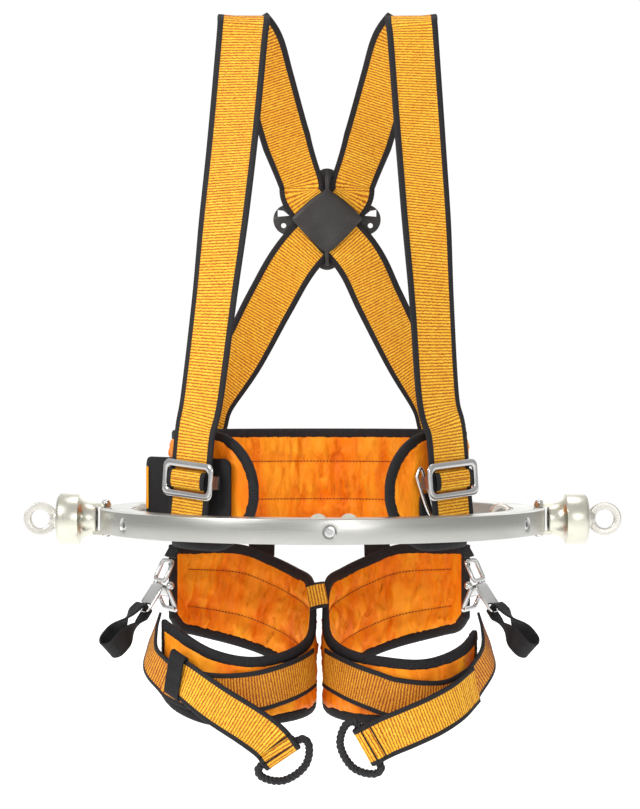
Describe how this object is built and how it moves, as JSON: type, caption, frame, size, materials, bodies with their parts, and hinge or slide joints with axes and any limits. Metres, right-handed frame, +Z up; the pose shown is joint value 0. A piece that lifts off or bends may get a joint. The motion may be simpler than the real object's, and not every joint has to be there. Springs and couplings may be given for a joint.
{
  "type": "acrobatic twisting ring harness",
  "caption": "Body harness for flying and tumbling: padded belt, leg loops and crossed shoulder straps that turn inside a rolling ring carried by two swivelling rope eyes.",
  "frame": {"origin": "centre of the ring, where the axis through both rope eyes crosses the axis that the harness turns about", "axes": "+X along the swivel axis to the right of someone facing the wearer, +Y towards the wearer's back, +Z up the wearer's spine"},
  "size_m": [0.573, 0.4248, 0.7251],
  "materials": {
    "webbing": "coarse polyester webbing",
    "satin": "padded satin",
    "black_webbing": "matt webbing",
    "cord": "braided cord",
    "plate": "satin",
    "aluminium": "fine turned",
    "nickel": "satin nickel plate",
    "steel": "polished",
    "nylon": "machined",
    "eye_metal": "satin"
  },
  "bodies": {
    "ring_frame": {"outer_ring": "aluminium", "swivel_housing_left": "nickel", "swivel_housing_right": "nickel", "swivel_bearing_left": "steel", "swivel_bearing_right": "steel", "housing_screw_lower_left": "steel", "housing_screw_lower_right": "steel", "housing_screw_upper_left": "steel", "housing_screw_upper_right": "steel", "roller_screw_1": "steel", "roller_screw_2": "steel", "roller_screw_3": "steel", "roller_screw_4": "steel", "roller_screw_5": "steel", "roller_screw_6": "steel"},
    "eye_left": {"swivel_eye_left": "eye_metal", "spindle_nut_left": "steel"},
    "eye_right": {"swivel_eye_right": "eye_metal", "spindle_nut_right": "steel"},
    "roller_1": {"ring_roller_1": "nylon"},
    "roller_2": {"ring_roller_2": "nylon"},
    "roller_3": {"ring_roller_3": "nylon"},
    "roller_4": {"ring_roller_4": "nylon"},
    "roller_5": {"ring_roller_5": "nylon"},
    "roller_6": {"ring_roller_6": "nylon"},
    "harness": {"inner_ring": "aluminium", "belt_lug_left": "eye_metal", "belt_lug_right": "eye_metal", "ring_stop_left": "nickel", "ring_stop_right": "nickel", "belt_pad": "satin", "closure_band_left": "black_webbing", "closure_tab_right": "black_webbing", "shoulder_strap_left": "webbing", "shoulder_strap_right": "webbing", "back_cross_plate": "plate", "hip_hanger_left": "black_webbing", "hip_hanger_right": "black_webbing", "rear_riser_left": "black_webbing", "rear_riser_right": "black_webbing", "leg_pad_left": "satin", "leg_pad_right": "satin", "leg_strap_left": "webbing", "leg_strap_right": "webbing", "strap_tail_left": "webbing", "strap_tail_right": "webbing", "crotch_link": "webbing"},
    "closure_link": {"triangle_link": "steel"},
    "adjuster_left": {"strap_adjuster_left": "steel"},
    "hip_link_left": {"buckle_link_left": "steel"},
    "hip_buckle_left": {"leg_buckle_frame_left": "steel"},
    "lever_left": {"buckle_lever_left": "steel"},
    "pull_left": {"pull_loop_left": "black_webbing"},
    "cord_left": {"cord_loop_left": "cord"},
    "adjuster_right": {"strap_adjuster_right": "steel"},
    "hip_link_right": {"buckle_link_right": "steel"},
    "hip_buckle_right": {"leg_buckle_frame_right": "steel"},
    "lever_right": {"buckle_lever_right": "steel"},
    "pull_right": {"pull_loop_right": "black_webbing"},
    "cord_right": {"cord_loop_right": "cord"}
  },
  "joints": [
    {"name": "ring_spin", "type": "hinge", "parent": "ring_frame", "child": "harness", "pos_m": [0, 0, 0], "axis": [0, 0, 1], "continuous": true},
    {"name": "eye_left_swivel", "type": "hinge", "parent": "ring_frame", "child": "eye_left", "pos_m": [-0.2705, 0, 0], "axis": [1, 0, 0], "continuous": true},
    {"name": "eye_right_swivel", "type": "hinge", "parent": "ring_frame", "child": "eye_right", "pos_m": [0.2705, 0, 0], "axis": [1, 0, 0], "continuous": true},
    {"name": "roller_1_spin", "type": "hinge", "parent": "ring_frame", "child": "roller_1", "pos_m": [0.00552, -0.19762, 0], "axis": [0.0279, -0.9996, 0], "continuous": true},
    {"name": "roller_2_spin", "type": "hinge", "parent": "ring_frame", "child": "roller_2", "pos_m": [0.17391, -0.09403, 0], "axis": [0.8796, -0.4756, 0], "continuous": true},
    {"name": "roller_3_spin", "type": "hinge", "parent": "ring_frame", "child": "roller_3", "pos_m": [0.16839, 0.10359, 0], "axis": [0.8517, 0.524, 0], "continuous": true},
    {"name": "roller_4_spin", "type": "hinge", "parent": "ring_frame", "child": "roller_4", "pos_m": [-0.00552, 0.19762, 0], "axis": [-0.0279, 0.9996, 0], "continuous": true},
    {"name": "roller_5_spin", "type": "hinge", "parent": "ring_frame", "child": "roller_5", "pos_m": [-0.17391, 0.09403, 0], "axis": [-0.8796, 0.4756, 0], "continuous": true},
    {"name": "roller_6_spin", "type": "hinge", "parent": "ring_frame", "child": "roller_6", "pos_m": [-0.16839, -0.10359, 0], "axis": [-0.8517, -0.524, 0], "continuous": true},
    {"name": "adjuster_left_slide", "type": "slide", "parent": "harness", "child": "adjuster_left", "axis": [0.0954, -0.0207, 0.9952], "range_m": [-0.012, 0.013]},
    {"name": "adjuster_right_slide", "type": "slide", "parent": "harness", "child": "adjuster_right", "axis": [-0.0882, -0.0207, 0.9959], "range_m": [-0.012, 0.013]},
    {"name": "closure_link_pivot", "type": "hinge", "parent": "harness", "child": "closure_link", "pos_m": [0.09856, -0.10317, 0.013], "axis": [0.8125, 0.583, 0], "range_deg": [-5, 0.5]},
    {"name": "hip_link_left_pivot", "type": "hinge", "parent": "harness", "child": "hip_link_left", "pos_m": [-0.14647, -0.01189, -0.0375], "axis": [-0.4226, 0.9063, 0], "range_deg": [-2.5, 8]},
    {"name": "hip_buckle_left_pivot", "type": "hinge", "parent": "hip_link_left", "child": "hip_buckle_left", "pos_m": [-0.15553, -0.01611, -0.059], "axis": [-0.4226, 0.9063, 0], "range_deg": [-2.5, 8]},
    {"name": "lever_left_pivot", "type": "hinge", "parent": "hip_buckle_left", "child": "lever_left", "pos_m": [-0.15553, -0.01611, -0.059], "axis": [-0.4226, 0.9063, 0], "range_deg": [0, 55]},
    {"name": "pull_left_hinge", "type": "hinge", "parent": "lever_left", "child": "pull_left", "pos_m": [-0.1692, -0.02249, -0.08246], "axis": [-0.4226, 0.9063, 0], "range_deg": [-2, 8]},
    {"name": "hip_link_right_pivot", "type": "hinge", "parent": "harness", "child": "hip_link_right", "pos_m": [0.14047, -0.01189, -0.0375], "axis": [-0.4226, -0.9063, 0], "range_deg": [-2.5, 8]},
    {"name": "hip_buckle_right_pivot", "type": "hinge", "parent": "hip_link_right", "child": "hip_buckle_right", "pos_m": [0.14953, -0.01611, -0.059], "axis": [-0.4226, -0.9063, 0], "range_deg": [-2.5, 8]},
    {"name": "lever_right_pivot", "type": "hinge", "parent": "hip_buckle_right", "child": "lever_right", "pos_m": [0.14953, -0.01611, -0.059], "axis": [-0.4226, -0.9063, 0], "range_deg": [0, 55]},
    {"name": "pull_right_hinge", "type": "hinge", "parent": "lever_right", "child": "pull_right", "pos_m": [0.1632, -0.02249, -0.08246], "axis": [-0.4226, -0.9063, 0], "range_deg": [-2, 8]},
    {"name": "cord_left_swing", "type": "hinge", "parent": "harness", "child": "cord_left", "pos_m": [-0.03924, -0.10195, -0.20785], "axis": [0.8407, 0, 0.5415], "range_deg": [-40, 40]},
    {"name": "cord_right_swing", "type": "hinge", "parent": "harness", "child": "cord_right", "pos_m": [0.0423, -0.10199, -0.20024], "axis": [-0.5037, 0, 0.8639], "range_deg": [-40, 40]}
  ],
  "couplings": [
    {"joint": "roller_1_spin", "follows": "ring_spin", "ratio": -32.95},
    {"joint": "roller_2_spin", "follows": "ring_spin", "ratio": -32.95},
    {"joint": "roller_3_spin", "follows": "ring_spin", "ratio": -32.95},
    {"joint": "roller_4_spin", "follows": "ring_spin", "ratio": -32.95},
    {"joint": "roller_5_spin", "follows": "ring_spin", "ratio": -32.95},
    {"joint": "roller_6_spin", "follows": "ring_spin", "ratio": -32.95}
  ]
}
